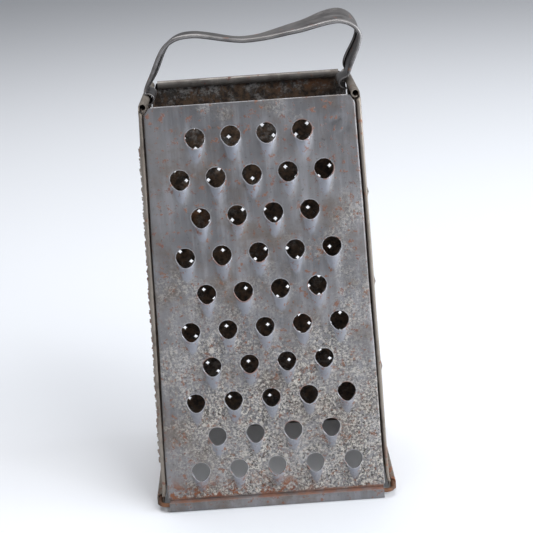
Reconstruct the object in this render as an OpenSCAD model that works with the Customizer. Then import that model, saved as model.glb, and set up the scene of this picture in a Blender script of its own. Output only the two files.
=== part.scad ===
// Four-sided box grater of tinned sheet steel with a strap handle.
// Four perforated sheets are hooked together along the corners, their feet
// are rolled round one wire ring, and the strap hooks round the side beads.
// Millimetres, +Z up, origin at the middle of the base.

/* [Body] */
// Width over the side sheets at the rim
rim_w = 86; // [82:1:90]
// Width over the side sheets at the base
base_w = 99.6; // [96:0.2:104]
// Depth over the front and back sheets at the rim
rim_d = 45; // [42:1:50]
// Depth over the front and back sheets at the base
base_d = 67.8; // [62:0.2:74]
// Height of the rim
body_h = 176.6; // [173:0.2:184]
// Thickness of the sheet
sheet = 0.5; // [0.4:0.05:0.5]

/* [Edges] */
// Front sheet's top edge below the rim
front_drop = 1.6; // [1:0.1:2.4]
// Outer diameter of the rolled beads at the rim
bead_d = 3.4; // [3:0.1:3.8]
// Height of the rolled hem at the base
hem_h = 4.8; // [4.4:0.1:5.6]
// Thickness of the rolled hem
hem_w = 3; // [3:0.1:4]
// Diameter of the base wire
wire_d = 1.9; // [1.6:0.1:1.9]
// Depth of the hooked corner seam
seam_depth = 6; // [5:0.5:7]
// Gap between layers in the corner seam
seam_gap = 0.05; // [0.04:0.01:0.06]
// Width of the open groove between a face sheet and the side fold
groove = 0.55; // [0.4:0.05:0.8]

/* [Coarse shredder] */
// Diameter of the shredding holes
hole_d = 7.9; // [6:0.1:8.4]
// Distance between holes in the top row
pitch_top = 14; // [13:0.1:14.5]
// Distance between holes in the bottom row
pitch_base = 16.5; // [15:0.1:17]
// Distance between rows
row_step = 16; // [15:0.1:16.2]
// Height of the top row
top_row_z = 162.2; // [158:0.1:163]
// Height of the cutting lips
lip_h = 1.5; // [1:0.1:2]

/* [Other faces] */
// Side of the square holes in the back
square = 1.8; // [1.4:0.1:3]
// Distance between square holes along a row
square_pitch = 9.8; // [9:0.1:11]
// Diameter of the rasp holes in the left side
rasp_d = 1.8; // [1.2:0.1:2]
// Distance between rasp holes along a row
rasp_pitch = 4; // [4:0.1:6]
// Number of slicing slots in the right side
slots = 3; // [2:1:4]
// Height of each slicing slot
slot_h = 3; // [2:0.5:4]

/* [Handle] */
// Width of the strap
strap_w = 14; // [12:0.5:16]
// Thickness of the strap
strap_t = 0.7; // [0.6:0.05:0.8]
// Diameter of the strap's rolled edges
strap_roll_d = 1.7; // [1.5:0.1:2]
// Distance of the strap's left foot behind the middle of the body
strap_y_left = 0; // [0:0.5:4]
// Distance of the strap's right foot behind the middle of the body
strap_y_right = 5.6; // [3:0.2:7]
// Height of the strap's left crest above the rim
left_crest = 22; // [20:0.5:24]
// Height of the strap above the rim where it sags in the middle
sag = 18.5; // [17:0.5:20]
// Height of the strap's right crest above the rim
right_crest = 25; // [23:0.5:27]
// How far the strap's right leg bows out past its foot
right_bow = 5; // [3:0.5:6]

/* [Hidden] */
$fn = 48;
TIN = [0.52, 0.53, 0.56];
DULL_TIN = [0.46, 0.45, 0.44];
RUSTY = [0.45, 0.27, 0.16];
WORN = [0.48, 0.45, 0.43];

layer = sheet + seam_gap;
embed = 0.02;                       // how far joined shapes sink into each other
bead_r = bead_d / 2;
side_lean = atan((base_w - rim_w) / 2 / body_h);
face_lean = atan((base_d - rim_d) / 2 / body_h);
side_edge_lean = atan((base_d - rim_d) / 2 * cos(side_lean) / body_h);
fold_r = layer + sheet / 2;         // outer radius of the folded side edge
fold_set_back = 0.6;                // side fold sits this far behind the face
seam_foot = hem_h + 1;
seam_top = body_h - bead_d - 0.6;
front_top = body_h - front_drop;
bead_end_gap = 1.3;
face_margin = 3 * layer + groove;   // face sheets stop this far inside the sides
hem_r = 1;                          // outer rounding of the hem
face_hem_cut = 2;                   // face hems stop this far short of the corner
side_hem_cut = 4;                   // side hems stop this far short of the corner
flare_z = 10;                       // the foot bends below this, clear of the lips
flare = 0.2;                        // how far the foot of a sheet bends outward
fold_h = 4.6;                       // folded top edge of the front sheet
pattern_tilt = 0.9;                 // slant of the shredding holes
corner_cut = 2.3;                   // cut corners of the front sheet's top edge
back_tilt = 2.1;                    // slant of the square holes
back_hole = [5.8, 50.8];            // one hole that the rows of squares pass through
back_edge = 7;                      // plain edges beside the square holes
back_ends = 16;                     // plain height below and above the square holes
slot_zone = [36, 24];               // plain ends below and above the slicing slots
slot_edge = 11;                     // plain edges beside a slicing slot
rasp_low = 19;                      // lowest row of rasp holes
rasp_ends = 36;                     // plain height below and above the rasp
rasp_edge = 5.5;                    // plain edges beside the rasp
wire_bend = 3;                      // bend radius of the wire at the corners
wire_slack = 0.15;                  // gap between the wire and the top of the hem

function body_w(z) = base_w + (rim_w - base_w) * z / body_h;
function body_d(z) = base_d + (rim_d - base_d) * z / body_h;

// Section of a sheet, outward distance against height. half is a list of
// the half spans at the base and at the rim.
module sheet_section(half, rolled) {
    slope = (half[1] - half[0]) / body_h;
    out_at = function(z) half[0] + slope * z;
    foot_out = half[0] + flare;
    top = rolled ? body_h - bead_r : front_top;
    polygon([[out_at(flare_z), flare_z], [out_at(top), top],
             [out_at(top) - sheet, top], [out_at(flare_z) - sheet, flare_z],
             [foot_out - sheet, hem_h - 1], [foot_out, hem_h - 1]]);
    hem_section(foot_out);
    if (rolled)
        translate([out_at(body_h) - bead_r + embed, body_h - bead_r]) difference() {
            circle(d = bead_d);
            circle(r = bead_r - sheet);
        }
    else
        polygon([[out_at(front_top) - sheet / 2, front_top],
                 [out_at(front_top) - 2 * sheet, front_top],
                 [out_at(front_top - fold_h) - 2 * sheet, front_top - fold_h],
                 [out_at(front_top - fold_h) - sheet / 2, front_top - fold_h]]);
}

// Hollow hem with a flat foot, its inner wall in line with the sheet
module hem_section(foot_out) {
    left = foot_out - sheet - embed;
    difference() {
        rounded_slot(left, left + hem_w, 0, hem_h, hem_r);
        rounded_slot(left + sheet, left + hem_w - sheet, sheet, hem_h - sheet, hem_r - sheet);
    }
}

module rounded_slot(x0, x1, y0, y1, r) {
    for (x = [x0 + r, x1 - r], y = [y0 + r, y1 - r]) translate([x, y]) circle(r);
    translate([x0 + r, y0]) square([x1 - x0 - 2 * r, y1 - y0]);
    translate([x0, y0 + r]) square([x1 - x0, y1 - y0 - 2 * r]);
}

// Sheet facing -Y: its section run along X and trimmed to a tapered outline
module face_sheet(rolled) {
    w0 = base_w / 2 - face_margin - embed;
    w1 = rim_w / 2 - face_margin - embed;
    bead_half = rim_w / 2 - bead_d - bead_end_gap;
    hem_half = base_w / 2 - face_hem_cut;
    at = function(z) w0 + (w1 - w0) * z / body_h;
    under = rolled ? body_h - bead_d - 1 : front_top - corner_cut;
    half_outline = [[hem_half - 2.5, -1], [hem_half, 1.2], [hem_half, hem_h - 1.2],
        [hem_half - 1.2, hem_h], [hem_half - 1.2, seam_foot],
        [at(seam_foot), seam_foot], [at(under), under],
        if (rolled) [bead_half, under],
        [rolled ? bead_half : at(front_top) - corner_cut - 1, (rolled ? body_h : front_top) + 1]];
    mirrored = [for (i = [len(half_outline) - 1:-1:0])
        [-half_outline[i][0], half_outline[i][1]]];
    intersection() {
        rotate([90, 0, -90]) linear_extrude(base_w, center = true)
            sheet_section([base_d / 2, rim_d / 2], rolled);
        rotate([90, 0, 0]) linear_extrude(base_d + 20, center = true)
            polygon(concat(half_outline, mirrored));
    }
}

// Sheet facing +X, with its edges folded back for the corner seams
module side_sheet() {
    e0 = base_d / 2 - fold_set_back - fold_r;
    e1 = rim_d / 2 - fold_set_back - fold_r;
    hem_half = base_d / 2 - side_hem_cut;
    half_outline = [[hem_half - 1, -1], [hem_half, 0.6], [hem_half, flare_z],
        [e0 + (e1 - e0) * flare_z / body_h, flare_z], [e1, body_h + 1]];
    mirrored = [for (i = [len(half_outline) - 1:-1:0])
        [-half_outline[i][0], half_outline[i][1]]];
    intersection() {
        rotate([90, 0, 0]) linear_extrude(base_d, center = true)
            sheet_section([base_w / 2, rim_w / 2], true);
        rotate([90, 0, 90]) linear_extrude(base_w + 20, center = true)
            polygon(concat(half_outline, mirrored));
    }
    corner_run() side_fold();
    mirror([0, 1, 0]) corner_run() side_fold();
}

// Runs a flat shape up the front right corner, in the plane of the side:
// X is outward from the side, Y is back from the front face.
module corner_run() {
    translate([base_w / 2, -base_d / 2, 0]) rotate([0, -side_lean, 0])
        rotate([-side_edge_lean, 0, 0]) translate([0, 0, seam_foot])
            linear_extrude(seam_top - seam_foot) children();
}

module side_fold() {
    front = fold_set_back;
    translate([-embed, front]) difference() {
        union() {
            translate([-fold_r, fold_r]) circle(fold_r);
            translate([-2 * fold_r, fold_r]) square([2 * fold_r, seam_depth - fold_r - 1]);
        }
        translate([-fold_r, fold_r]) circle(fold_r - sheet);
        translate([sheet - 2 * fold_r, fold_r])
            square([2 * (fold_r - sheet), seam_depth]);
        translate([-sheet / 2, fold_r + 1]) square([sheet, seam_depth]);
    }
}

// Flange of a face sheet: back along the corner, then forward in the fold
module face_hook() {
    inner = -face_margin - sheet;
    tongue = -layer - sheet;
    translate([inner, 0.1]) square([sheet, seam_depth + sheet - 0.1]);
    translate([inner, seam_depth]) square([tongue + sheet - inner, sheet]);
    translate([tongue, fold_set_back + fold_r + 0.15])
        square([sheet, seam_depth + sheet - fold_set_back - fold_r - 0.15]);
}

module face_seams() {
    corner_run() face_hook();
    mirror([1, 0, 0]) corner_run() face_hook();
}

// Puts a pattern drawn flat on the front face, its height measured up the face
module on_face() {
    translate([0, -base_d / 2, 0]) rotate([-face_lean, 0, 0]) rotate([90, 0, 0]) children();
}

module on_side() {
    translate([base_w / 2, 0, 0]) rotate([0, -side_lean, 0]) rotate([90, 0, 90]) children();
}

// Rows of four and five holes by turns, fanned out toward the base
module shredder_places() {
    rows = 10;
    middle = top_row_z - (rows - 1) / 2 * row_step;
    translate([0, middle]) rotate(pattern_tilt)
        for (row = [0:rows - 1]) {
            count = row % 2 == 0 ? 4 : 5;
            pitch = pitch_top + (pitch_base - pitch_top) * row / (rows - 1);
            for (i = [0:count - 1])
                translate([(i - (count - 1) / 2) * pitch, ((rows - 1) / 2 - row) * row_step])
                    rotate(-pattern_tilt) children();
        }
}

// Raised lip round the lower half of a shredding hole
module cutting_lip() {
    r = hole_d / 2;
    rotate(180) rotate_extrude(angle = 180)
        polygon([[r - 0.5, -sheet / 2], [r + 1.7, -sheet / 2], [r + 1.2, 0.1],
                 [r + 0.35, lip_h], [r - 0.5, lip_h]]);
}

module front_shredder_panel() {
    color(TIN) difference() {
        union() {
            face_sheet(false);
            face_seams();
            on_face() shredder_places() cutting_lip();
        }
        on_face() shredder_places()
            cylinder(d = hole_d, h = 3 * lip_h, center = true);
    }
}

// Slanted, staggered rows of square holes, as far as the sheet has room
function back_places() = [for (row = [-9:27], i = [-7:7])
    let (across = (i + abs(row % 2) / 2) * square_pitch, up = row * square_pitch / 2,
         x = back_hole[0] + across * cos(back_tilt) + up * sin(back_tilt),
         z = back_hole[1] - across * sin(back_tilt) + up * cos(back_tilt))
    if (z > back_ends && z < body_h - back_ends && abs(x) < body_w(z) / 2 - back_edge) [x, z]];

module back_rasp_panel() {
    color(DULL_TIN) mirror([0, 1, 0]) difference() {
        union() {
            face_sheet(true);
            face_seams();
        }
        on_face() translate([0, 0, -2]) linear_extrude(4)
            for (place = back_places())
                translate(place) rotate(45) square(square, center = true);
    }
}

module left_fine_rasp_panel() {
    rows = floor((body_h - rasp_ends) / rasp_pitch * 2);
    color(DULL_TIN) mirror([1, 0, 0]) difference() {
        side_sheet();
        on_side() translate([0, 0, -2]) linear_extrude(4)
            for (row = [0:rows - 1]) {
                z = rasp_low + row * rasp_pitch / 2;
                reach = floor((body_d(z) / 2 - rasp_edge) / rasp_pitch - (row % 2) / 2);
                for (i = [-reach - (row % 2):reach])
                    translate([(i + (row % 2) / 2) * rasp_pitch, z]) circle(d = rasp_d);
            }
    }
}

function slot_height(i) = slot_zone[0]
    + (body_h - slot_zone[0] - slot_zone[1]) / slots * (i + 0.5);
function slot_span(z) = body_d(z) - 2 * slot_edge;

module right_slicer_panel() {
    color(DULL_TIN) difference() {
        union() {
            side_sheet();
            for (i = [0:slots - 1]) slicer_blade(slot_height(i));
        }
        on_side() translate([0, 0, -2]) linear_extrude(4)
            for (i = [0:slots - 1])
                translate([0, slot_height(i)])
                    square([slot_span(slot_height(i)), slot_h], center = true);
    }
}

// Raised edge below a slicing slot
module slicer_blade(z) {
    span = slot_span(z);
    on_side() translate([span / 2, z - slot_h / 2, 0]) rotate([0, -90, 0])
        linear_extrude(span) polygon([[-sheet / 2, embed - 6], [0.05, embed - 5],
            [1.4, 0.6], [1, 0.6], [-sheet / 2, -1.6]]);
}

// Wire ring inside the hems, with round corners
module base_wire() {
    z = hem_h - sheet - wire_d / 2 - wire_slack;
    x = base_w / 2 + flare - sheet - embed + hem_w / 2;
    y = base_d / 2 + flare - sheet - embed + hem_w / 2;
    color(RUSTY) translate([0, 0, z]) {
        for (s = [-1, 1]) {
            translate([wire_bend - x, s * y, 0]) rotate([0, 90, 0])
                cylinder(d = wire_d, h = 2 * (x - wire_bend));
            translate([s * x, y - wire_bend, 0]) rotate([90, 0, 0])
                cylinder(d = wire_d, h = 2 * (y - wire_bend));
        }
        for (quarter = [0:3])
            translate([(quarter == 0 || quarter == 3 ? 1 : -1) * (x - wire_bend),
                       (quarter < 2 ? 1 : -1) * (y - wire_bend), 0])
                rotate(90 * quarter) rotate_extrude(angle = 90)
                    translate([wire_bend, 0]) circle(d = wire_d);
    }
}

// Strap: points are across the body, above the rim, and the tilt of the strap.
// Each foot is a loop over a side bead, slack by how far it reaches inward.
hook_r = bead_r + strap_t / 2 + 0.2;
hook_x = rim_w / 2 - bead_r;
hook_spans = 6;
hook_steps = 2;
grip_steps = 5;
slack_left = 0.5;
slack_right = 1.1;
left_leg = [[0.4 - hook_x, 1.5, -4], [3.5 - hook_x, 0.36 * left_crest, -5],
            [10 - hook_x, 0.86 * left_crest, -4]];
crests = [[-hook_x / 2, left_crest, -3], [0, sag, -4],
          [hook_x / 2, 0.86 * right_crest, 5], [hook_x - 3, right_crest, 13]];
right_leg = [[hook_x + right_bow, 0.7 * right_crest, 0],
             [hook_x + 0.5, 0.22 * right_crest, -6], [hook_x - 0.8, 1.3, 0]];
function hook(side, slack, from, to) = [for (i = [0:hook_spans])
    let (a = from + (to - from) * i / hook_spans)
    [side * (hook_x - slack + (hook_r + slack) * cos(a)), hook_r * sin(a) - bead_r, 0]];
function spline(a, b, c, d, t) = 0.5 * (2 * b + (c - a) * t
    + (2 * a - 5 * b + 4 * c - d) * t * t + (3 * b - a - 3 * c + d) * t * t * t);
controls = concat(hook(-1, slack_left, 262, 112), left_leg, crests, right_leg,
                  hook(1, slack_right, 112, 262));
last = len(controls) - 1;
path = [for (i = [0:last - 1])
    let (steps = i < hook_spans || i >= last - hook_spans ? hook_steps : grip_steps)
    for (k = [0:steps - 1])
        spline(controls[max(i - 1, 0)], controls[i], controls[i + 1],
               controls[min(i + 2, last)], k / steps), controls[last]];
roll_start = hook_spans * hook_steps + grip_steps;

// Half the thickness of the strap at a place across it, rolled at its edges
function strap_half(v, roll) = let (r = strap_t / 2 + (strap_roll_d - strap_t) / 2 * roll,
    inset = abs(v) - (strap_w / 2 - r))
    inset > -r ? max(sqrt(max(r * r - inset * inset, 0)), inset < 0 ? strap_t / 2 : 0.02)
               : strap_t / 2;
rolled_edge = [for (a = [0:36:180])
    strap_w / 2 - strap_roll_d / 2 * (1 - cos(a))];
stations = [for (v = rolled_edge) -v, for (k = [len(rolled_edge) - 1:-1:0]) rolled_edge[k]];
function strap_ring(i) = let (
    a = path[max(i - 1, 0)], b = path[min(i + 1, len(path) - 1)],
    along = [b[0] - a[0], b[1] - a[1]] / norm([b[0] - a[0], b[1] - a[1]]),
    out = [-along[1], along[0]],
    roll = min(1, max(0, (min(i, len(path) - 1 - i) - roll_start) / grip_steps)),
    tilt = path[i][2],
    middle = strap_y_left
        + (strap_y_right - strap_y_left) * (path[i][0] + hook_x) / (2 * hook_x),
    place = function(v, h) [path[i][0] + out[0] * (h * cos(tilt) + v * sin(tilt)),
        middle + v * cos(tilt) - h * sin(tilt),
        body_h + path[i][1] + out[1] * (h * cos(tilt) + v * sin(tilt))])
    concat([for (v = stations) place(v, strap_half(v, roll))],
           [for (k = [len(stations) - 1:-1:0])
               place(stations[k], -strap_half(stations[k], roll))]);

module strap_handle() {
    n = 2 * len(stations);
    m = len(path);
    points = [for (i = [0:m - 1]) each strap_ring(i)];
    sides = [for (i = [0:m - 2], k = [0:n - 1])
        [i * n + k, i * n + (k + 1) % n, (i + 1) * n + (k + 1) % n, (i + 1) * n + k]];
    color(WORN) polyhedron(points, concat(sides,
        [[for (k = [n - 1:-1:0]) k], [for (k = [0:n - 1]) (m - 1) * n + k]]));
}

front_shredder_panel();
back_rasp_panel();
left_fine_rasp_panel();
right_slicer_panel();
base_wire();
strap_handle();
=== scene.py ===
"""Box grater of tinned sheet steel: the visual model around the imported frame.

Each sheet is cut as a flat pattern with its holes, and then folded: rolled
bead or folded edge at the rim, flared foot and rolled hem at the base, and
the corner folds. All lengths are in metres.
"""
import math
import random

import bpy
import numpy as np
from mathutils import Matrix, Vector, noise
from mathutils.geometry import delaunay_2d_cdt


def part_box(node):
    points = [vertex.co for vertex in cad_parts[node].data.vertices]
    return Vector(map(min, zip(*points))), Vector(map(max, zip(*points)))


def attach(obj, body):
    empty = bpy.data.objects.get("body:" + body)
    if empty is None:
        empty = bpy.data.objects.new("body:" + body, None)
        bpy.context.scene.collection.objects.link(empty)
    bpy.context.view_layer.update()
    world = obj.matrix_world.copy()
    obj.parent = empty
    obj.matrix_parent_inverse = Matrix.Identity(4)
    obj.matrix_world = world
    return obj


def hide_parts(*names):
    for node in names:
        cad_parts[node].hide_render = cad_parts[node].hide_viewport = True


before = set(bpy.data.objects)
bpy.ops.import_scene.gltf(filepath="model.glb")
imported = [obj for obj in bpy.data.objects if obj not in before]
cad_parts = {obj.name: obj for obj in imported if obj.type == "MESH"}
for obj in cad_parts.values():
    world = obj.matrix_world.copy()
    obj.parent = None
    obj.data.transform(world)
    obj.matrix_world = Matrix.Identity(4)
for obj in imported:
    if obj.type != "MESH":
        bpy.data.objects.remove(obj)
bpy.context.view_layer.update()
MM = 0.001

# ---------------------------------------------------------------- sizes
SHEET = 0.5 * MM
BEAD_R = 1.7 * MM
HEM_H = 4.8 * MM
HEM_W = 3.0 * MM
HEM_R = 1.0 * MM
FLARE = 0.2 * MM
FLARE_Z = 10 * MM
CORNER_CUT = 2.3 * MM       # cut corners of the front sheet's top edge
FOLD_R = 0.8 * MM          # outer radius of a side sheet's folded edge
SEAM_DEPTH = 5 * MM
FACE_IN = 2.2 * MM        # a face sheet stops this far inside the side sheets
SIDE_IN = 0.6 * MM         # a side fold stands this far behind the face
HEM_SHORT = 2.0 * MM       # a hem stops this far short of the corner
FRONT_FOLD = 4.6 * MM      # folded top edge of the front sheet
FRONT_INSET = 4.9 * MM     # that fold stops this far inside the side sheets
BEAD_GAP = 1.3 * MM        # between the ends of the back bead and the side beads
FACE_BEND = 0.9 * MM       # bend radius of a face sheet's flanges
FACE_FLAP = SEAM_DEPTH - 0.4 * MM
SIDE_FLAP = SEAM_DEPTH - 1.6 * MM


def reach(node, axis, low, high):
    """How far a CAD node reaches along an axis between two heights."""
    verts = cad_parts[node].data.vertices
    found = [abs(v.co[axis]) for v in verts if low <= v.co[2] <= high]
    return max(found)


RIM_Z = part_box("right_slicer_panel")[1][2]
RIM_X = reach("right_slicer_panel", 0, RIM_Z - 2.5 * MM, RIM_Z)
RIM_Y = reach("back_rasp_panel", 1, RIM_Z - 2.5 * MM, RIM_Z)
BASE_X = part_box("right_slicer_panel")[1][0] - FLARE - HEM_W + SHEET
BASE_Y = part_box("back_rasp_panel")[1][1] - FLARE - HEM_W + SHEET
FRONT_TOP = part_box("front_shredder_panel")[1][2]


def half_x(z):
    """Half the width over the side sheets at a height."""
    return BASE_X + (RIM_X - BASE_X) * z / RIM_Z


def half_y(z):
    """Half the depth over the front and back sheets at a height."""
    return BASE_Y + (RIM_Y - BASE_Y) * z / RIM_Z


# ---------------------------------------------------------------- camera
def add_camera():
    distance, elevation, roll = 0.4559, math.radians(21.25), math.radians(-3.96)
    aim = Vector((2.37 * MM, 0, 97.27 * MM))
    back = Vector((0, -math.cos(elevation), math.sin(elevation)))
    right = Vector((1, 0, 0))
    up = back.cross(right)
    rolled_right = right * math.cos(roll) + up * math.sin(roll)
    rolled_up = up * math.cos(roll) - right * math.sin(roll)
    data = bpy.data.cameras.new("camera")
    data.sensor_width = 36
    data.lens = 71.16
    camera = bpy.data.objects.new("camera", data)
    bpy.context.collection.objects.link(camera)
    turn = Matrix((rolled_right, rolled_up, back)).transposed().to_4x4()
    camera.matrix_world = Matrix.Translation(aim + back * distance) @ turn
    bpy.context.scene.camera = camera


# ---------------------------------------------------------------- sections
def arc(o, z, r, start, end, steps):
    """Points round a centre, from one angle to another in degrees."""
    angles = [math.radians(start + (end - start) * i / steps) for i in range(steps + 1)]
    return [(o + r * math.cos(a), z + r * math.sin(a)) for a in angles]


class Section:
    """A sheet's outer surface in section, from its top edge to its rolled foot."""

    def __init__(self, half, top_z, rolled):
        lead = half(0)
        out = FLARE + lead
        points = []
        if rolled:
            points += arc(half(top_z) - BEAD_R, top_z - BEAD_R, BEAD_R, 318, 4, 26)
        else:
            edge = half(top_z)
            inner = 2.2 * SHEET
            points += [(edge - inner, top_z - FRONT_FOLD), (edge - inner, top_z - 2.6 * MM)]
            points += arc(edge - inner / 2, top_z - inner / 2, inner / 2, 180, 0, 9)
        self.face_start = len(points)
        self.face_top = points[-1][1]
        rows = int((self.face_top - FLARE_Z) / (1.45 * MM))
        for i in range(1, rows):
            z = self.face_top + (FLARE_Z - self.face_top) * i / rows
            points.append((half(z), z))
        start = half(FLARE_Z)
        for i in range(8):
            t = i / 8
            ease = t * t * (3 - 2 * t)
            points.append((start + (out - start) * ease, FLARE_Z + (HEM_H - FLARE_Z) * t))
        self.rolled, self.hem_start = rolled, len(points)
        inner_r = HEM_R - SHEET
        left, right = out, out - 2 * SHEET + HEM_W
        low, high = SHEET, HEM_H - SHEET
        points += [(left, high)]
        points += arc(left + inner_r, low + inner_r, inner_r, 180, 270, 5)
        points += arc(right - inner_r, low + inner_r, inner_r, 270, 360, 5)
        points += arc(right - inner_r, high - inner_r, inner_r, 0, 90, 5)
        points += [(left + 0.35 * MM, high)]
        self.points = np.array(points)
        steps = np.hypot(*np.diff(self.points, axis=0).T)
        self.s = np.concatenate([[0], np.cumsum(steps)])

    def at(self, s):
        """Outward distance, height and normal at lengths along the sheet."""
        o = np.interp(s, self.s, self.points[:, 0])
        z = np.interp(s, self.s, self.points[:, 1])
        d = 0.25 * MM
        low, high = np.clip(s - d, 0, self.s[-1]), np.clip(s + d, 0, self.s[-1])
        to = np.interp(high, self.s, self.points[:, 0]) - np.interp(low, self.s, self.points[:, 0])
        tz = np.interp(high, self.s, self.points[:, 1]) - np.interp(low, self.s, self.points[:, 1])
        size = np.hypot(to, tz) + 1e-12
        return o, z, -tz / size, to / size

    def s_at(self, z):
        """Length along the sheet at which its face has this height."""
        first = self.face_start - 1
        return float(np.interp(-z, -self.points[first:first + 140, 1], self.s[first:first + 140]))


# ---------------------------------------------------------------- sheets
class Sheet:
    """One sheet: its flat pattern, its holes and the way it folds up."""

    def __init__(self, name, section, face_half, turn, bend_r, flap, ends, facing, spacing):
        self.name, self.section, self.face_half = name, section, face_half
        self.turn, self.bend_r, self.flap, self.ends = math.radians(turn), bend_r, flap, ends
        self.facing, self.spacing = facing, spacing
        self.rings = []            # rings of (across, up, lift) round the holes
        self.cuts = []             # (across, up, test) of what is cut out
        self.clear = []            # (across, up, radius) kept free of grid points

    def limit(self, i):
        """Half the width of the flat pattern at a section point, and whether it has flaps."""
        z = self.section.points[i][1]
        in_top = i < self.section.face_start - 2
        section = self.section
        in_hem = i >= section.hem_start
        bend = self.face_half(z) - self.bend_r
        if in_top:
            return self.ends["top"] - self.top_trim(i), False
        if in_hem or z < HEM_H + 0.6 * MM:
            past = (section.s[-1] - section.s[i]) / (section.s[-1] - section.s[section.hem_start])
            trim = 1.6 * MM * max(0, 1 - past * 4)
            return self.ends["hem"] - trim, False
        if not section.rolled and z > FRONT_TOP - CORNER_CUT:
            return self.face_half(z) - (z - FRONT_TOP + CORNER_CUT), False
        if section.rolled and z > RIM_Z - 2 * BEAD_R - 0.5 * MM:
            return bend - max(0, z - (RIM_Z - 2 * BEAD_R)) * 0.4, False
        if z < HEM_H + 1.2 * MM:
            return bend, False
        return bend + self.bend_r * self.turn + self.flap, True

    def top_trim(self, i):
        return 1.2 * MM * max(0, 1 - i / 3)

    def columns(self, i):
        """Places of the grid points across one row."""
        limit, flaps = self.limit(i)
        z = self.section.points[i][1]
        inner = min(limit, self.face_half(z) - self.bend_r)
        count = max(4, 2 * round(self.face_half(RIM_Z / 2) / self.spacing))
        places = list(np.linspace(-inner, inner, count + 1))
        if flaps:
            bends = np.linspace(0, self.bend_r * self.turn, 2 + round(self.turn * 4))[1:]
            side = [inner + b for b in bends] + [inner + bends[-1] + self.flap / 2, limit]
            places = [-x for x in reversed(side)] + places + side
        return places

    def fold(self, x, s):
        """Positions and normals of flat points, in the row frame."""
        o, z, no, nz = self.section.at(s)
        bend = np.array([self.face_half(h) for h in z]) - self.bend_r
        past = np.maximum(np.abs(x) - bend, 0)
        angle = np.minimum(past / self.bend_r, self.turn)
        rest = np.maximum(past - self.bend_r * self.turn, 0)
        across = np.minimum(np.abs(x), bend) + self.bend_r * np.sin(angle)
        across = across + rest * math.cos(self.turn)
        depth = self.bend_r * (1 - np.cos(angle)) + rest * math.sin(self.turn)
        sign = np.sign(x)
        outward = no * np.cos(angle)
        ax, out = np.array(self.facing[0]), np.array(self.facing[1])
        place = np.outer(sign * across, ax) + np.outer(o - depth, out)
        place[:, 2] += z
        normal = np.outer(sign * np.sin(angle), ax) + np.outer(outward, out)
        normal[:, 2] += nz
        return place, normal

    def build(self, lift, attributes):
        """Makes the mesh. lift(x, z) gives extra height for each flat point."""
        xs, ss, lifts, border = [], [], [], []
        count = len(self.section.points)
        centres = np.array([(c[0], c[1], c[2]) for c in self.clear]) if self.clear else None
        left, right = [], []
        for i in range(count):
            s = self.section.s[i]
            places = self.columns(i)
            for k, x in enumerate(places):
                edge = k in (0, len(places) - 1)
                if not edge and centres is not None:
                    gap = np.hypot(centres[:, 0] - x, centres[:, 1] - s) - centres[:, 2]
                    if gap.min() < 0:
                        continue
                if k == 0:
                    left.append(len(xs))
                if k == len(places) - 1:
                    right.append(len(xs))
                xs.append(x)
                ss.append(s)
                lifts.append(0.0)
        border += list(zip(left, left[1:])) + list(zip(right, right[1:]))
        edges = list(border)
        for ring in self.rings:
            first = len(xs)
            for x, s, h in ring["points"]:
                xs.append(x)
                ss.append(s)
                lifts.append(h)
            if ring["edge"]:
                n = len(ring["points"])
                edges += [(first + k, first + (k + 1) % n) for k in range(n)]
        flat = [Vector((x, -s)) for x, s in zip(xs, ss)]
        result = delaunay_2d_cdt(flat, edges, [], 0, 1e-7)
        verts = np.array([(v[0], -v[1]) for v in result[0]])
        source = [ids[0] if ids else -1 for ids in result[3]]
        height = np.array([lifts[i] if i >= 0 else 0.0 for i in source])
        faces = self.keep(verts, np.array(result[2]))
        place, normal = self.fold(verts[:, 0], verts[:, 1])
        height = height + lift(verts[:, 0], verts[:, 1], place)
        place = place + normal * height[:, None]
        mesh = bpy.data.meshes.new(self.name)
        mesh.from_pydata(place.tolist(), [], faces.tolist())
        for key, values in attributes(verts, place, height).items():
            layer = mesh.attributes.new(key, "FLOAT", "POINT")
            layer.data.foreach_set("value", np.asarray(values, dtype=np.float32))
        piece = bpy.data.objects.new(self.name, mesh)
        bpy.context.collection.objects.link(piece)
        return piece

    def keep(self, verts, faces):
        """Drops the triangles outside the outline and inside the holes."""
        middle = verts[faces].mean(axis=1)
        limits = [self.limit(i)[0] for i in range(len(self.section.points))]
        inside = np.abs(middle[:, 0]) <= np.interp(middle[:, 1], self.section.s, limits)
        for test in self.cuts:
            inside &= ~test(middle[:, 0], middle[:, 1])
        return faces[inside]


def thicken(piece, materials, thickness=SHEET, outward=None, wall=0.0):
    """Gives a sheet its thickness, with the second material on its inner side.

    The hem turns that side outward again, so past the wall it takes the first.
    """
    for material in materials:
        piece.data.materials.append(material)
    modifier = piece.modifiers.new("thickness", "SOLIDIFY")
    modifier.thickness = thickness
    modifier.offset = -1
    modifier.use_even_offset = False
    modifier.material_offset = len(materials) - 1
    bpy.context.view_layer.update()
    evaluated = piece.evaluated_get(bpy.context.evaluated_depsgraph_get())
    mesh = bpy.data.meshes.new_from_object(evaluated)
    piece.modifiers.clear()
    piece.data = mesh
    if outward:
        for face in mesh.polygons:
            if face.center.z < HEM_H + 0.1 * MM and face.center.dot(Vector(outward)) > wall:
                face.material_index = 0
    mesh.shade_smooth()
    mesh.set_sharp_from_angle(angle=math.radians(42))


def foot_fade(place):
    """Lets the face's relief die away just above the hem."""
    return np.clip((place[:, 2] - HEM_H - 0.4 * MM) / (3.5 * MM), 0, 1)


def waves(place, size, height):
    """Gentle unevenness of old sheet."""
    return np.array([noise.noise(Vector(p) / size) for p in place]) * height


# ---------------------------------------------------------------- holes
def circle(x, s, r, count, phase=0.0):
    turns = [2 * math.pi * (k + phase) / count for k in range(count)]
    return [(x + r * math.cos(t), s - r * math.sin(t)) for t in turns]


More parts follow.
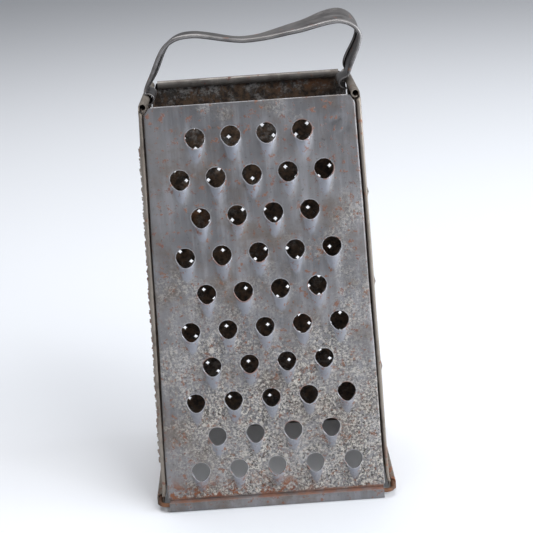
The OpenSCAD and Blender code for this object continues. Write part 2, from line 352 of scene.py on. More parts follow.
SHRED_R = 3.95 * MM
SHRED_ROWS = 10
PITCH_TOP, PITCH_BASE, ROW_STEP = 14 * MM, 16.5 * MM, 16 * MM
TOP_ROW_Z = 162.2 * MM
TILT = math.radians(0.9)


def shredder_places(section, extra=False):
    """Rows of four and five holes by turns, fanned out toward the base."""
    middle = TOP_ROW_Z - (SHRED_ROWS - 1) / 2 * ROW_STEP
    places = []
    for row in range(SHRED_ROWS):
        count = 4 if row % 2 == 0 else 5
        pitch = PITCH_TOP + (PITCH_BASE - PITCH_TOP) * row / (SHRED_ROWS - 1)
        indexes = [count] if extra else range(count)
        for i in indexes:
            x = (i - (count - 1) / 2) * pitch
            y = ((SHRED_ROWS - 1) / 2 - row) * ROW_STEP
            turned = y * math.cos(TILT) + x * math.sin(TILT)
            places.append((x * math.cos(TILT) - y * math.sin(TILT),
                           section.s_at(middle + turned)))
        if extra:
            break
    return places


def hood(x, s, places):
    """The raised half-round lip below each hole, and the dished edge above it."""
    total = np.zeros_like(x)
    for k, (cx, cs) in enumerate(places):
        across, down = (x - cx) / SHRED_R, (s - cs) / SHRED_R
        near = (np.abs(across) < 1.6) & (down > -2.2) & (down < 4)
        if not near.any():
            continue
        a, d = across[near], down[near]
        width = np.clip(1.12 - 0.25 * d, 0.42, 1.02)
        rise = np.clip((d + 0.35) / 1.2, 0, 1)
        fall = np.clip((3.5 - d) / 2.3, 0, 1)
        crest = rise * rise * (3 - 2 * rise) * fall * fall * (3 - 2 * fall)
        bell = np.cos(np.clip(a / width, -1, 1) * math.pi / 2) ** 0.8
        tall = (1.9 + 0.25 * math.sin(k * 2.4)) * MM
        radial = np.hypot(a, d)
        dish = np.exp(-((radial - 1) / 0.28) ** 2) * np.clip(-d, 0, 1) * 0.3 * MM
        total[near] += tall * crest * bell - dish
    return total


def build_front(materials):
    section = Section(half_y, FRONT_TOP, False)
    front = Sheet("front_sheet", section, lambda z: half_x(z) - FACE_IN, 90, FACE_BEND,
                  FACE_FLAP,
                  {"top": half_x(RIM_Z) - FRONT_INSET, "hem": BASE_X - HEM_SHORT},
                  ((1, 0, 0), (0, -1, 0)), 1.45 * MM)
    places = shredder_places(section)
    for x, s in places:
        for ring, r in enumerate((1, 1.09, 1.24, 1.46)):
            points = circle(x, s, SHRED_R * r, 32, 0.5 * (ring % 2))
            front.rings.append({"edge": ring == 0, "points": [(a, b, 0.0) for a, b in points]})
        front.clear.append((x, s, SHRED_R * 1.62))
    spots = np.array(places)

    def in_hole(x, s):
        gap = np.hypot(x[:, None] - spots[:, 0], s[:, None] - spots[:, 1]).min(axis=1)
        return gap < SHRED_R * 0.985
    front.cuts.append(in_hole)
    mark_x, mark_s = shredder_places(section, extra=True)[0]

    def lift(x, s, place):
        radial = np.hypot(x - mark_x, s - mark_s) / SHRED_R
        side = np.clip(0.5 + (x - mark_x) / SHRED_R * 0.8 - (s - mark_s) / SHRED_R * 0.5, 0, 1)
        mark = -np.exp(-((radial - 0.8) / 0.22) ** 2) * side * 0.55 * MM
        face = (s > section.s[section.face_start]) * foot_fade(place)
        return (hood(x, s, places) + mark + waves(place, 45 * MM, 0.35 * MM)) * face

    def attributes(verts, place, height):
        gap = np.hypot(verts[:, 0, None] - spots[:, 0], verts[:, 1, None] - spots[:, 1])
        edge = np.exp(-np.maximum(gap.min(axis=1) - SHRED_R, 0) / (0.8 * MM))
        return {"edge": edge, "lift": np.clip(height / (1.8 * MM), 0, 1)}
    piece = front.build(lift, attributes)
    thicken(piece, materials, SHEET, (0, -1, 0), BASE_Y + FLARE - 0.1 * MM)
    return piece


def burr_rings(sheet, x, s, r, sides, lift, wide, rng, corner=False):
    """A punched hole with a torn, raised rim."""
    tips = [lift * (0.75 + 0.5 * rng.random()) for _ in range(sides)]
    turn = rng.uniform(-0.12, 0.12)

    def ring(scale, rise, edge):
        points = []
        for k in range(sides):
            t = 2 * math.pi * k / sides + turn * (1 if rise else 0)
            flat = 1.08 / (abs(math.cos(t)) + abs(math.sin(t))) if corner else 1.0
            tall = tips[k] * rise
            points.append((x + r * scale * flat * math.cos(t),
                           s - r * scale * flat * math.sin(t), tall))
        sheet.rings.append({"edge": edge, "points": points})
    ring(0.96, 1.0, True)
    ring(1.0 + 0.18 * wide, 0.72, False)
    ring(1.0 + 0.62 * wide, 0.16, False)
    ring(1.0 + 1.15 * wide, 0.0, False)


def punched(sheet, places, radius, sides, lift, wide, seed, corner=False):
    """Adds a field of punched holes to a sheet."""
    rng = random.Random(seed)
    for x, s in places:
        burr_rings(sheet, x, s, radius, sides, lift, wide, rng, corner)
        sheet.clear.append((x, s, radius * (1 + 1.5 * wide)))
    spots = np.array(places)

    def in_hole(x, s):
        dx, ds = np.abs(x[:, None] - spots[:, 0]), np.abs(s[:, None] - spots[:, 1])
        if corner:
            return (dx + ds).min(axis=1) < radius * 0.985
        return np.hypot(dx, ds).min(axis=1) < radius * 0.93
    sheet.cuts.append(in_hole)
    return spots


def lattice(section, low, high, pitch, reach_at):
    """Staggered rows of holes, as far across as reach_at allows."""
    places = []
    for row in range(int((high - low) / (pitch / 2))):
        z = low + row * pitch / 2
        odd = row % 2
        count = math.floor(reach_at(z) / pitch - odd / 2)
        for i in range(-count - odd, count + 1):
            places.append(((i + odd / 2) * pitch, section.s_at(z)))
    return places


def rasp_attributes(spots, radius):
    def attributes(verts, place, height):
        edge = np.zeros(len(verts))
        for start in range(0, len(verts), 4000):
            part = verts[start:start + 4000]
            gap = np.hypot(part[:, 0, None] - spots[:, 0], part[:, 1, None] - spots[:, 1])
            edge[start:start + 4000] = np.exp(-np.maximum(gap.min(axis=1) - radius, 0) / (0.7 * MM))
        return {"edge": edge, "lift": np.clip(height / (1.0 * MM), 0, 1)}
    return attributes


BACK_PITCH, BACK_TILT = 9.8 * MM, math.radians(2.1)
BACK_HOLE = (5.8 * MM, 50.8 * MM)    # one hole that the rows pass through
BACK_EDGE, BACK_ENDS = 7 * MM, 16 * MM   # plain beside, and below and above, the holes
BACK_R = 1.4 * MM                        # from the middle of a square hole to a corner


def back_places(section):
    """Slanted, staggered rows of square holes, as far as the sheet has room."""
    places = []
    for row in range(-9, 28):
        for i in range(-7, 8):
            across, up = (i + (row % 2) / 2) * BACK_PITCH, row * BACK_PITCH / 2
            x = BACK_HOLE[0] + across * math.cos(BACK_TILT) + up * math.sin(BACK_TILT)
            z = BACK_HOLE[1] - across * math.sin(BACK_TILT) + up * math.cos(BACK_TILT)
            if BACK_ENDS < z < RIM_Z - BACK_ENDS and abs(x) < half_x(z) - BACK_EDGE:
                places.append((-x, section.s_at(z)))
    return places


def build_back(materials):
    section = Section(half_y, RIM_Z, True)
    back = Sheet("back_sheet", section, lambda z: half_x(z) - FACE_IN, 90, FACE_BEND,
                 FACE_FLAP,
                 {"top": half_x(RIM_Z) - 2 * BEAD_R - BEAD_GAP, "hem": BASE_X - HEM_SHORT},
                 ((-1, 0, 0), (0, 1, 0)), 2.4 * MM)
    places = back_places(section)
    spots = punched(back, places, BACK_R, 16, 0.9 * MM, 0.75, 5, corner=True)

    def lift(x, s, place):
        face = (s > section.s[section.face_start]) * foot_fade(place)
        return waves(place, 45 * MM, 0.35 * MM) * face
    piece = back.build(lift, rasp_attributes(spots, 1.2 * MM))
    thicken(piece, materials, SHEET, (0, 1, 0), BASE_Y + FLARE - 0.1 * MM)
    return piece


def side_sheet(name, facing, spacing):
    section = Section(half_x, RIM_Z, True)
    return Sheet(name, section, lambda z: half_y(z) - SIDE_IN, 180, FOLD_R,
                 SIDE_FLAP,
                 {"top": half_y(RIM_Z) - SIDE_IN - FOLD_R, "hem": BASE_Y - HEM_SHORT * 2},
                 facing, spacing)


RASP_R, RASP_PITCH = 0.9 * MM, 4 * MM
RASP_LOW, RASP_TOP, RASP_EDGE = 19 * MM, 17 * MM, 5.5 * MM


def build_left(materials):
    left = side_sheet("left_sheet", ((0, -1, 0), (-1, 0, 0)), 2.4 * MM)
    places = lattice(left.section, RASP_LOW, RIM_Z - RASP_TOP, RASP_PITCH,
                     lambda z: half_y(z) - RASP_EDGE)
    spots = punched(left, places, RASP_R, 8, 1.1 * MM, 0.42, 11)

    def lift(x, s, place):
        face = (s > left.section.s[left.section.face_start]) * foot_fade(place)
        return waves(place, 40 * MM, 0.25 * MM) * face
    piece = left.build(lift, rasp_attributes(spots, RASP_R))
    thicken(piece, materials, SHEET, (-1, 0, 0), BASE_X + FLARE - 0.1 * MM)
    return piece


SLOTS = 3
SLOT_H = 3 * MM
SLOT_LOW, SLOT_TOP = 36 * MM, 24 * MM     # plain below and above the slots
SLOT_EDGE = 11 * MM


def build_right(materials):
    right = side_sheet("right_sheet", ((0, 1, 0), (1, 0, 0)), 1.7 * MM)
    section = right.section
    spacing = (RIM_Z - SLOT_LOW - SLOT_TOP) / SLOTS
    slots = []
    for i in range(SLOTS):
        z = SLOT_LOW + spacing * (i + 0.5)
        half = half_y(z) - SLOT_EDGE
        slots.append((section.s_at(z), half))
        for ring, grow in enumerate((0, 0.5 * MM, 1.2 * MM, 2.1 * MM)):
            right.rings.append({"edge": ring == 0,
                                "points": slot_outline(section.s_at(z), half, grow)})
        for k in range(-14, 15):
            right.clear.append((half * k / 14, section.s_at(z), SLOT_H / 2 + 2.6 * MM))

    def in_slot(x, s):
        cut = np.zeros(len(x), dtype=bool)
        for centre, half in slots:
            along = np.maximum(np.abs(x) - (half - SLOT_H / 2), 0)
            cut |= np.hypot(along, s - centre) < SLOT_H / 2 * 0.97
        return cut
    right.cuts.append(in_slot)

    def lift(x, s, place):
        total = np.zeros_like(x)
        for centre, half in slots:
            down = (s - centre) / MM
            ends = np.clip((half + 1.5 * MM - np.abs(x)) / (4 * MM), 0, 1)
            ends = ends * ends * (3 - 2 * ends)
            rise = np.clip((down - 0.2) / 1.1, 0, 1) * np.clip((9.5 - down) / 8, 0, 1) ** 1.5
            sink = np.clip((-down - 0.2) / 1.1, 0, 1) * np.clip((7 + down) / 5.5, 0, 1) ** 1.5
            total += ends * (1.7 * rise - 0.5 * sink) * MM
        face = (s > section.s[section.face_start]) * foot_fade(place)
        return (total + waves(place, 40 * MM, 0.25 * MM)) * face

    def attributes(verts, place, height):
        edge = np.zeros(len(verts))
        for centre, half in slots:
            along = np.maximum(np.abs(verts[:, 0]) - (half - SLOT_H / 2), 0)
            gap = np.hypot(along, verts[:, 1] - centre) - SLOT_H / 2
            edge = np.maximum(edge, np.exp(-np.maximum(gap, 0) / (0.9 * MM)))
        return {"edge": edge, "lift": np.clip(height / (1.7 * MM), 0, 1)}
    piece = right.build(lift, attributes)
    thicken(piece, materials, SHEET, (1, 0, 0), BASE_X + FLARE - 0.1 * MM)
    return piece


def slot_outline(s, half, grow):
    """Points round a slot with round ends, grown outward."""
    r = SLOT_H / 2 + grow
    straight = half - SLOT_H / 2
    points = [(straight * (1 - 2 * k / 24), s - r, 0.0) for k in range(1, 24)]
    points += [(-straight - r * math.sin(math.pi * k / 8), s - r * math.cos(math.pi * k / 8), 0.0)
               for k in range(9)]
    points += [(-straight * (1 - 2 * k / 24), s + r, 0.0) for k in range(1, 24)]
    points += [(straight + r * math.sin(math.pi * k / 8), s + r * math.cos(math.pi * k / 8), 0.0)
               for k in range(9)]
    return points


# ---------------------------------------------------------------- handle
STRAP_T = 0.55 * MM
STRAP_W = 14 * MM
ROLL_R = 0.85 * MM
HOOK_R = BEAD_R + 0.55 * MM
HOOK_X = RIM_X - BEAD_R
STRAP_Y = (0.0, 5.6 * MM)            # the left and right foot, behind the middle
LEFT_CREST, SAG, RIGHT_CREST, RIGHT_BOW = 22 * MM, 18.5 * MM, 25 * MM, 5 * MM


HOOK_SPANS, HOOK_STEPS, GRIP_STEPS = 6, 3, 10
ROLL_START, ROLL_RUN = 26, 12            # path steps before and over which the edges roll


def hook(side, slack, start, end):
    """A foot of the strap: a loop over a side bead, slack by how far it reaches inward."""
    points = []
    for i in range(HOOK_SPANS + 1):
        a = math.radians(start + (end - start) * i / HOOK_SPANS)
        points.append((side * (HOOK_X - slack + (HOOK_R + slack) * math.cos(a)),
                       HOOK_R * math.sin(a) - BEAD_R, 0))
    return points


def strap_controls():
    """Along the strap: across the body, above the rim, and its tilt in degrees."""
    left_leg = [(0.4 * MM - HOOK_X, 1.5 * MM, -4), (3.5 * MM - HOOK_X, 0.36 * LEFT_CREST, -5),
                (10 * MM - HOOK_X, 0.86 * LEFT_CREST, -4)]
    crests = [(-HOOK_X / 2, LEFT_CREST, -3), (0, SAG, -4),
              (HOOK_X / 2, 0.86 * RIGHT_CREST, 5), (HOOK_X - 3 * MM, RIGHT_CREST, 13)]
    right_leg = [(HOOK_X + RIGHT_BOW, 0.7 * RIGHT_CREST, 0),
                 (HOOK_X + 0.5 * MM, 0.22 * RIGHT_CREST, -6), (HOOK_X - 0.8 * MM, 1.3 * MM, 0)]
    return (hook(-1, 0.5 * MM, 262, 112) + left_leg + crests + right_leg
            + hook(1, 1.1 * MM, 112, 262))


def spline(a, b, c, d, t):
    return 0.5 * (2 * b + (c - a) * t + (2 * a - 5 * b + 4 * c - d) * t * t
                  + (3 * b - a - 3 * c + d) * t ** 3)


def strap_section(roll_r, half_w):
    """Across the strap: one rolled edge, the crowned web, the other rolled edge."""
    points = []
    turns = 11
    for k in range(turns + 1):
        a = math.radians(-160 + 250 * k / turns)
        points.append((half_w - roll_r + roll_r * math.cos(a), roll_r * (math.sin(a) - 1)))
    web = half_w - roll_r
    for k in range(1, 12):
        v = web * (1 - 2 * k / 12)
        points.append((v, 0.22 * MM * ((v / web) ** 2 - 1)))
    points += [(-v, h) for v, h in reversed(points[:turns + 1])]
    return points


def build_handle(material):
    controls = strap_controls()
    path = []
    last = len(controls) - 1
    for i in range(last):
        a, b = controls[max(i - 1, 0)], controls[i]
        c, d = controls[i + 1], controls[min(i + 2, last)]
        per = HOOK_STEPS if i < HOOK_SPANS or i >= last - HOOK_SPANS else GRIP_STEPS
        for k in range(per):
            path.append([spline(a[j], b[j], c[j], d[j], k / per) for j in range(3)])
    path.append(list(controls[last]))
    rings = []
    for i, (x, h, tilt) in enumerate(path):
        before, after = path[max(i - 1, 0)], path[min(i + 1, len(path) - 1)]
        along = Vector((after[0] - before[0], 0, after[1] - before[1])).normalized()
        out = Vector((-along.z, 0, along.x))
        from_end = min(i, len(path) - 1 - i)
        roll = min(1, max(0, (from_end - ROLL_START) / ROLL_RUN))
        roll_r = 0.34 * MM + (ROLL_R - 0.34 * MM) * roll * roll * (3 - 2 * roll)
        angle = math.radians(tilt)
        middle = STRAP_Y[0] + (STRAP_Y[1] - STRAP_Y[0]) * (x + HOOK_X) / (2 * HOOK_X)
        centre = Vector((x, middle, RIM_Z + h))
        side = Vector((0, math.cos(angle), 0)) + out * math.sin(angle)
        top = out * math.cos(angle) - Vector((0, math.sin(angle), 0))
        ring = []
        for v, rise in strap_section(roll_r, STRAP_W / 2):
            dent = noise.noise(Vector((x, v, h)) / (7 * MM)) * 0.12 * MM
            ring.append(centre + side * v + top * (rise + STRAP_T / 2 + dent * roll))
        rings.append(ring)
    n = len(rings[0])
    verts = [p for ring in rings for p in ring]
    faces = [(i * n + k, i * n + k + 1, (i + 1) * n + k + 1, (i + 1) * n + k)
             for i in range(len(rings) - 1) for k in range(n - 1)]
    mesh = bpy.data.meshes.new("strap")
    mesh.from_pydata(verts, [], faces)
    edge = mesh.attributes.new("edge", "FLOAT", "POINT")
    rolled = [1.0 if min(k, n - 1 - k) < 12 else 0.0 for k in range(n)]
    edge.data.foreach_set("value", rolled * len(rings))
    piece = bpy.data.objects.new("strap", mesh)
    bpy.context.collection.objects.link(piece)
    thicken(piece, [material], STRAP_T * 0.9)
    return piece


WIRE_BEND = 3 * MM


def build_wire(material):
    """The wire ring, a slightly uneven rod with round corners."""
    low, high = (Vector(corner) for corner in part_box("base_wire"))
    r = (high.z - low.z) / 2
    bend = WIRE_BEND
    x, y, z = high.x - r, high.y - r, (high.z + low.z) / 2
    path = []
    for quarter, (sx, sy) in enumerate(((1, 1), (-1, 1), (-1, -1), (1, -1))):
        centre = Vector((sx * (x - bend), sy * (y - bend), z))
        for k in range(9):
            a = math.radians(90 * quarter + 90 * k / 8)
            path.append(centre + Vector((math.cos(a), math.sin(a), 0)) * bend)
        nxt = ((-1, 1), (-1, -1), (1, -1), (1, 1))[quarter]
        end_a = math.radians(90 * quarter + 90)
        target = Vector((nxt[0] * (x - bend), nxt[1] * (y - bend), z))
        target += Vector((math.cos(end_a), math.sin(end_a), 0)) * bend
        start = path[-1].copy()
        for k in range(1, 14):
            path.append(start.lerp(target, k / 14))
    verts, faces, sides = [], [], 14
    count = len(path)
    for i, p in enumerate(path):
        along = (path[(i + 1) % count] - path[i - 1]).normalized()
        out = along.cross(Vector((0, 0, 1))).normalized()
        for k in range(sides):
            t = 2 * math.pi * k / sides
            spot = p + (out * math.cos(t) + Vector((0, 0, 1)) * math.sin(t)) * r
            pit = 1 + 0.06 * noise.noise(spot / (1.1 * MM)) - 0.05
            verts.append(p + (out * math.cos(t) + Vector((0, 0, 1)) * math.sin(t)) * r * pit)
    for i in range(count):
        for k in range(sides):
            j = (i + 1) % count
            faces.append((i * sides + k, i * sides + (k + 1) % sides,
                          j * sides + (k + 1) % sides, j * sides + k))
    mesh = bpy.data.meshes.new("base_ring")
    mesh.from_pydata([tuple(v) for v in verts], [], faces)
    mesh.materials.append(material)
    mesh.shade_smooth()
    piece = bpy.data.objects.new("base_ring", mesh)
    bpy.context.collection.objects.link(piece)
    return piece


# ---------------------------------------------------------------- materials
class Shader:
    """Short names for the nodes that the metals share."""

    def __init__(self, name):
        self.material = bpy.data.materials.new(name)
        self.material.use_nodes = True
        self.tree = self.material.node_tree
        self.surface = self.tree.nodes["Principled BSDF"]
        coords = self.add("ShaderNodeTexCoord")
        self.place = coords.outputs["Object"]
        split = self.add("ShaderNodeSeparateXYZ")
        self.join(self.place, split.inputs[0])
        self.x, self.z = split.outputs[0], split.outputs[2]

    def add(self, kind):
        return self.tree.nodes.new(kind)

    def join(self, a, b):
        self.tree.links.new(a, b)

    def put(self, value, socket):
        if isinstance(value, (int, float, tuple)):
            socket.default_value = value
        else:
            self.join(value, socket)

    def noise(self, scale, detail=4, rough=0.6, stretch=(1, 1, 1), shift=0.0):
        mapping = self.add("ShaderNodeMapping")
        mapping.inputs["Scale"].default_value = stretch
        mapping.inputs["Location"].default_value = (shift, shift * 0.7, shift * 1.3)
        self.join(self.place, mapping.inputs["Vector"])
        node = self.add("ShaderNodeTexNoise")
        node.inputs["Scale"].default_value = scale
        node.inputs["Detail"].default_value = detail
        node.inputs["Roughness"].default_value = rough
        self.join(mapping.outputs[0], node.inputs["Vector"])
        return node.outputs["Fac"]

    def ramp(self, value, low, high, out_low=0.0, out_high=1.0):
        node = self.add("ShaderNodeMapRange")
        node.interpolation_type = "SMOOTHSTEP"
        self.put(value, node.inputs["Value"])
        for key, number in (("From Min", low), ("From Max", high),
                            ("To Min", out_low), ("To Max", out_high)):
            node.inputs[key].default_value = number
        return node.outputs["Result"]

    def math(self, kind, a, b=0.0, clamp=False):
        node = self.add("ShaderNodeMath")
        node.operation = kind
        node.use_clamp = clamp
        self.put(a, node.inputs[0])
        self.put(b, node.inputs[1])
        return node.outputs[0]

    def mix(self, mask, a, b):
        node = self.add("ShaderNodeMix")
        node.data_type = "RGBA"
        self.put(mask, node.inputs["Factor"])
        self.put(a, node.inputs[6])
        self.put(b, node.inputs[7])
        return node.outputs[2]

    def attribute(self, name):
        node = self.add("ShaderNodeAttribute")
        node.attribute_name = name
        return node.outputs["Fac"]

    def finish(self, colour, rough, metal, height, strength, distance):
        self.put(colour, self.surface.inputs["Base Color"])
        self.put(rough, self.surface.inputs["Roughness"])
        self.put(metal, self.surface.inputs["Metallic"])
        bump = self.add("ShaderNodeBump")
        bump.inputs["Strength"].default_value = strength
        bump.inputs["Distance"].default_value = distance
        self.join(height, bump.inputs["Height"])
        self.join(bump.outputs["Normal"], self.surface.inputs["Normal"])
        return self.material


def rust_colour(m):
    grain = m.noise(700, 5, 0.7, shift=3.1)
    dark = m.mix(grain, (0.085, 0.028, 0.015, 1), (0.36, 0.15, 0.075, 1))
    return m.mix(m.ramp(m.noise(160, 3, shift=9), 0.4, 0.7), dark, (0.17, 0.062, 0.04, 1))


def tin_face():
    """Blue-grey tin plate: scuffed, with pale bloom low down and rust at the hem."""
    m = Shader("tin_face")
    broad = m.noise(22, 4, shift=1)
    streak = m.noise(260, 4, 0.65, (1, 1, 0.09), 2)
    base = m.mix(m.ramp(broad, 0.35, 0.65), (0.14, 0.14, 0.148, 1), (0.225, 0.22, 0.225, 1))
    base = m.mix(m.ramp(streak, 0.42, 0.75, 0, 0.55), base, (0.33, 0.33, 0.35, 1))
    tarnish = m.ramp(m.noise(48, 5, 0.7, shift=4), 0.46, 0.68, 0, 0.65)
    base = m.mix(tarnish, base, (0.135, 0.105, 0.082, 1))
    speck = m.noise(620, 4, 0.7, shift=5)
    base = m.mix(m.ramp(speck, 0.6, 0.7, 0, 0.5), base, (0.06, 0.055, 0.05, 1))
    # pale bloom, thick near the base and toward the right edge
    low = m.math("MULTIPLY", m.ramp(m.z, 0.015, 0.145, 1.0, 0.0),
                 m.ramp(m.x, -0.046, -0.014, 0.3, 1.0))
    right = m.math("MULTIPLY", m.ramp(m.x, 0.012, 0.05), m.ramp(m.z, 0.06, 0.17, 0.55, 0.0))
    amount = m.math("MAXIMUM", low, right)
    amount = m.math("ADD", amount, m.ramp(m.noise(42, 5, 0.65, shift=6), 0.35, 0.7, -0.4, 0.42), True)
    rubbed = m.ramp(m.attribute("lift"), 0.22, 0.55)
    clean = m.math("SUBTRACT", m.ramp(m.z, HEM_H, HEM_H + 0.0008),
                   m.math("MULTIPLY", rubbed, 0.85), True)
    amount = m.math("MULTIPLY", amount, clean, True)
    base = m.mix(m.math("MULTIPLY", rubbed, 0.5), base, (0.27, 0.29, 0.34, 1))
    crust = m.ramp(m.noise(880, 6, 0.8, shift=7), 0.47, 0.57)
    bloom = m.math("MULTIPLY", amount, crust, True)
    base = m.mix(m.math("MULTIPLY", bloom, 0.9), base, (0.56, 0.525, 0.47, 1))
    pits = m.math("MULTIPLY", amount, m.ramp(m.noise(980, 3, 0.65, shift=8), 0.53, 0.62), True)
    base = m.mix(m.math("MULTIPLY", pits, 0.9), base, (0.05, 0.043, 0.037, 1))
    # pale ring along the hole rims: tin worn bare at the cutting edges, and a painted highlight on
    # those edges
    rim_wear_and_highlight = m.ramp(m.attribute("edge"), 0.6, 1.0, 0, 0.55)
    base = m.mix(rim_wear_and_highlight, base, (0.5, 0.5, 0.53, 1))
    # rust: specks all over, patches above the hem, a line along it, and hole edges
    specks = m.ramp(m.noise(420, 4, 0.75, shift=10), 0.575, 0.635, 0, 0.75)
    patch_zone = m.math("MULTIPLY", m.ramp(m.z, 0.007, 0.017, 1.0, 0.0),
                        m.math("MULTIPLY", m.ramp(m.x, 0.006, 0.022, 1.0, 0.1),
                               m.ramp(m.z, HEM_H, HEM_H + 0.0006)))
    patches = m.ramp(m.noise(150, 6, 0.8, shift=12), 0.5, 0.56)
    patches = m.math("MULTIPLY", patches, patch_zone)
    line = m.math("MULTIPLY", m.ramp(m.z, 0.0053, 0.0062, 1.0, 0.0), m.ramp(m.z, 0.0043, 0.0047))
    rim = m.math("MULTIPLY", m.attribute("edge"), m.ramp(m.noise(120, 3, shift=13), 0.5, 0.62))
    rim = m.ramp(rim, 0.5, 0.95, 0, 0.7)
    line_breaks = m.ramp(m.noise(90, 4, shift=16), 0.38, 0.6, 0.15, 0.8)
    rust = m.math("MAXIMUM", m.math("MAXIMUM", specks, patches),
                  m.math("MAXIMUM", m.math("MULTIPLY", line, line_breaks), rim))
    colour = m.mix(rust, base, rust_colour(m))
    rough = m.ramp(m.noise(70, 4, shift=14), 0.3, 0.7, 0.36, 0.55)
    rough = m.math("ADD", rough, m.math("MULTIPLY", m.math("MAXIMUM", rust, bloom), 0.4), True)
    metal = m.math("SUBTRACT", 0.72, m.math("MULTIPLY", m.math("MAXIMUM", rust, bloom), 0.6), True)
    height = m.math("ADD", m.math("MULTIPLY", crust, amount), m.math("MULTIPLY", rust, 0.8))
    height = m.math("ADD", height, m.math("MULTIPLY", m.noise(900, 3, shift=15), 0.25))
    return m.finish(colour, rough, metal, height, 0.5, 0.00018)


def tin_aged(name, warm):
    """Dull grey-brown tin plate of the sides and the back."""
    m = Shader(name)
    broad = m.noise(26, 4, shift=21)
    cool = m.mix(m.ramp(broad, 0.35, 0.65), (0.15, 0.145, 0.145, 1), (0.23, 0.22, 0.215, 1))
    base = m.mix(warm, cool, (0.30, 0.24, 0.175, 1))
    streak = m.noise(300, 4, 0.65, (1, 1, 0.1), 22)
    base = m.mix(m.ramp(streak, 0.45, 0.75, 0, 0.5), base, (0.34, 0.31, 0.28, 1))
    grime = m.ramp(m.noise(90, 5, 0.7, shift=23), 0.5, 0.72, 0, 0.6)
    base = m.mix(grime, base, (0.075, 0.06, 0.048, 1))
    worn = m.math("MULTIPLY", m.attribute("lift"), 0.55)
    base = m.mix(worn, base, (0.42, 0.39, 0.35, 1))
    specks = m.ramp(m.noise(190, 4, 0.7, shift=24), 0.62, 0.68, 0, 0.8)
    foot = m.math("MULTIPLY", m.ramp(m.z, 0.008, 0.03, 1, 0),
                  m.ramp(m.noise(80, 5, 0.7, shift=25), 0.52, 0.6))
    edge = m.math("MULTIPLY", m.attribute("edge"), m.ramp(m.noise(140, 3, shift=26), 0.42, 0.6))
    rust = m.math("MAXIMUM", m.math("MAXIMUM", specks, foot), m.math("MULTIPLY", edge, 0.55))
    colour = m.mix(rust, base, rust_colour(m))
    rough = m.ramp(m.noise(80, 4, shift=27), 0.3, 0.7, 0.38, 0.6)
    rough = m.math("ADD", rough, m.math("MULTIPLY", rust, 0.35), True)
    metal = m.math("SUBTRACT", 0.68, m.math("MULTIPLY", rust, 0.6), True)
    height = m.math("ADD", m.noise(800, 3, shift=28), m.math("MULTIPLY", rust, 0.9))
    return m.finish(colour, rough, metal, height, 0.45, 0.00016)


def rusty_inside():
    """Dark brown rust inside the body, with tin left near the rim and painted bounce light from the
    floor along the foot.
    """
    m = Shader("rusty_inside")
    grain = m.noise(380, 5, 0.7, shift=31)
    brown = m.mix(m.ramp(grain, 0.35, 0.65), (0.018, 0.012, 0.009, 1), (0.15, 0.095, 0.06, 1))
    orange = m.ramp(m.noise(60, 5, 0.7, shift=32), 0.55, 0.7, 0, 0.7)
    brown = m.mix(orange, brown, (0.20, 0.085, 0.035, 1))
    tin = m.mix(m.ramp(m.noise(420, 5, 0.75, shift=33), 0.42, 0.6), (0.07, 0.065, 0.062, 1),
                (0.38, 0.37, 0.36, 1))
    keep = m.math("ADD", m.ramp(m.z, 0.13, 0.19, 0, 0.75),
                  m.ramp(m.noise(110, 6, 0.78, shift=34), 0.44, 0.58, -0.6, 0.35), True)
    colour = m.mix(keep, brown, tin)
    # painted bounce light: the lowest 20 mm inside are lightened toward warm grey, as if lit from the
    # floor
    colour = m.mix(m.ramp(m.z, 0.002, 0.02, 0.5, 0.0), colour, (0.2, 0.17, 0.15, 1))
    rough = m.ramp(grain, 0.3, 0.7, 0.6, 0.9)
    metal = m.math("MULTIPLY", keep, 0.45)
    return m.finish(colour, rough, metal, grain, 0.6, 0.0003)


def worn_strap():
    """Grey-brown strap, rubbed bright along its rolled edges."""
    m = Shader("worn_strap")
    broad = m.noise(60, 4, shift=41)
    base = m.mix(m.ramp(broad, 0.35, 0.65), (0.085, 0.08, 0.082, 1), (0.18, 0.172, 0.17, 1))
    rub = m.noise(320, 4, 0.65, (0.12, 1, 1), 42)
    base = m.mix(m.ramp(rub, 0.42, 0.72, 0, 0.6), base, (0.26, 0.25, 0.25, 1))
    bright = m.math("MULTIPLY", m.attribute("edge"), m.ramp(m.noise(90, 4, shift=43), 0.35, 0.6))
    base = m.mix(m.math("MULTIPLY", bright, 0.4), base, (0.34, 0.33, 0.33, 1))
    specks = m.ramp(m.noise(170, 4, 0.7, shift=44), 0.6, 0.68, 0, 0.7)
    colour = m.mix(specks, base, rust_colour(m))
    rough = m.math("ADD", m.ramp(broad, 0.3, 0.7, 0.34, 0.5), m.math("MULTIPLY", specks, 0.35), True)
    metal = m.math("SUBTRACT", 0.75, m.math("MULTIPLY", specks, 0.6), True)
    return m.finish(colour, rough, metal, m.noise(700, 4, shift=45), 0.4, 0.00015)


def rusty_wire():
    m = Shader("rusty_wire")
    grain = m.noise(520, 5, 0.7, shift=51)
    colour = m.mix(m.ramp(m.noise(150, 4, shift=52), 0.35, 0.65), (0.19, 0.085, 0.042, 1),
                   (0.08, 0.042, 0.026, 1))
    colour = m.mix(m.ramp(grain, 0.55, 0.7, 0, 0.5), colour, (0.42, 0.22, 0.11, 1))
    rough = m.ramp(grain, 0.3, 0.7, 0.6, 0.9)
    return m.finish(colour, rough, 0.25, grain, 0.6, 0.0002)


# ---------------------------------------------------------------- setting
def plain(name, colour, rough):
    material = bpy.data.materials.new(name)
    material.use_nodes = True
    surface = material.node_tree.nodes["Principled BSDF"]
    surface.inputs["Base Color"].default_value = (*colour, 1)
    surface.inputs["Roughness"].default_value = rough
    return material


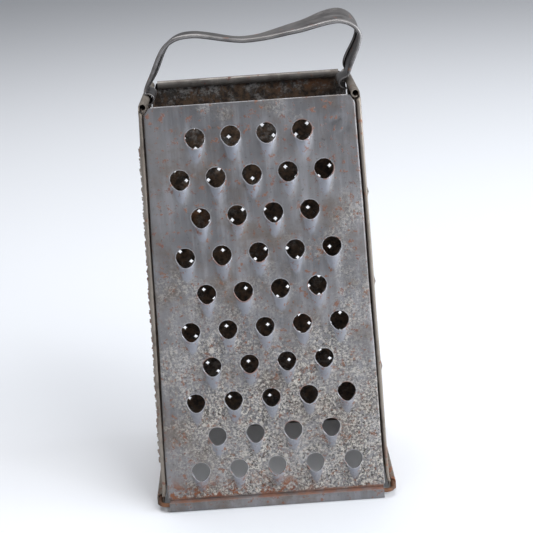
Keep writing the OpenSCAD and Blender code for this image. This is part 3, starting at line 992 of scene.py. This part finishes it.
def add_floor():
    mesh = bpy.data.meshes.new("floor")
    half = 4.0
    mesh.from_pydata([(-half, -half, 0), (half, -half, 0), (half, half, 0), (-half, half, 0)],
                     [], [(0, 1, 2, 3)])
    mesh.materials.append(plain("pale_floor", (0.80, 0.82, 0.86), 0.7))
    floor = bpy.data.objects.new("floor", mesh)
    bpy.context.collection.objects.link(floor)


def add_light(name, place, target, size, power, colour=(1, 1, 1)):
    data = bpy.data.lights.new(name, "AREA")
    data.shape = "SQUARE"
    data.size = size
    data.energy = power
    data.color = colour
    light = bpy.data.objects.new(name, data)
    bpy.context.collection.objects.link(light)
    aim = Vector(target) - Vector(place)
    light.matrix_world = Matrix.Translation(place) @ aim.to_track_quat("-Z", "Y").to_matrix().to_4x4()


def add_lights():
    centre = (0, 0, 0.1)
    add_light("key", (0.75, -0.8, 1.1), centre, 0.7, 10)
    add_light("side", (1.15, -0.3, 0.35), centre, 0.9, 20, (0.92, 0.96, 1.0))
    add_light("fill", (-0.9, -0.9, 0.7), centre, 1.0, 2.5)
    add_light("top", (-0.1, 0.25, 1.4), centre, 0.8, 12)
    world = bpy.data.worlds.new("studio")
    world.use_nodes = True
    world.node_tree.nodes["Background"].inputs[0].default_value = (0.86, 0.88, 0.92, 1)
    world.node_tree.nodes["Background"].inputs[1].default_value = 0.27
    bpy.context.scene.world = world
    bpy.context.scene.view_settings.view_transform = "Standard"


add_camera()
add_floor()
add_lights()
INSIDE = rusty_inside()
FACE = tin_face()
AGED = tin_aged("tin_aged", 0.15)
SIDES = tin_aged("tin_sides", 0.45)
PIECES = (
    (build_front([FACE, INSIDE]), "front_shredder_panel", "tinned_sheet"),
    (build_back([AGED, INSIDE]), "back_rasp_panel", "aged_tinned_sheet"),
    (build_left([SIDES, INSIDE]), "left_fine_rasp_panel", "aged_tinned_sheet"),
    (build_right([SIDES, INSIDE]), "right_slicer_panel", "aged_tinned_sheet"),
    (build_wire(rusty_wire()), "base_wire", "rusty_wire"),
    (build_handle(worn_strap()), "strap_handle", "worn_strap"),
)
for piece, node, slot in PIECES:
    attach(piece, "root")
    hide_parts(node)
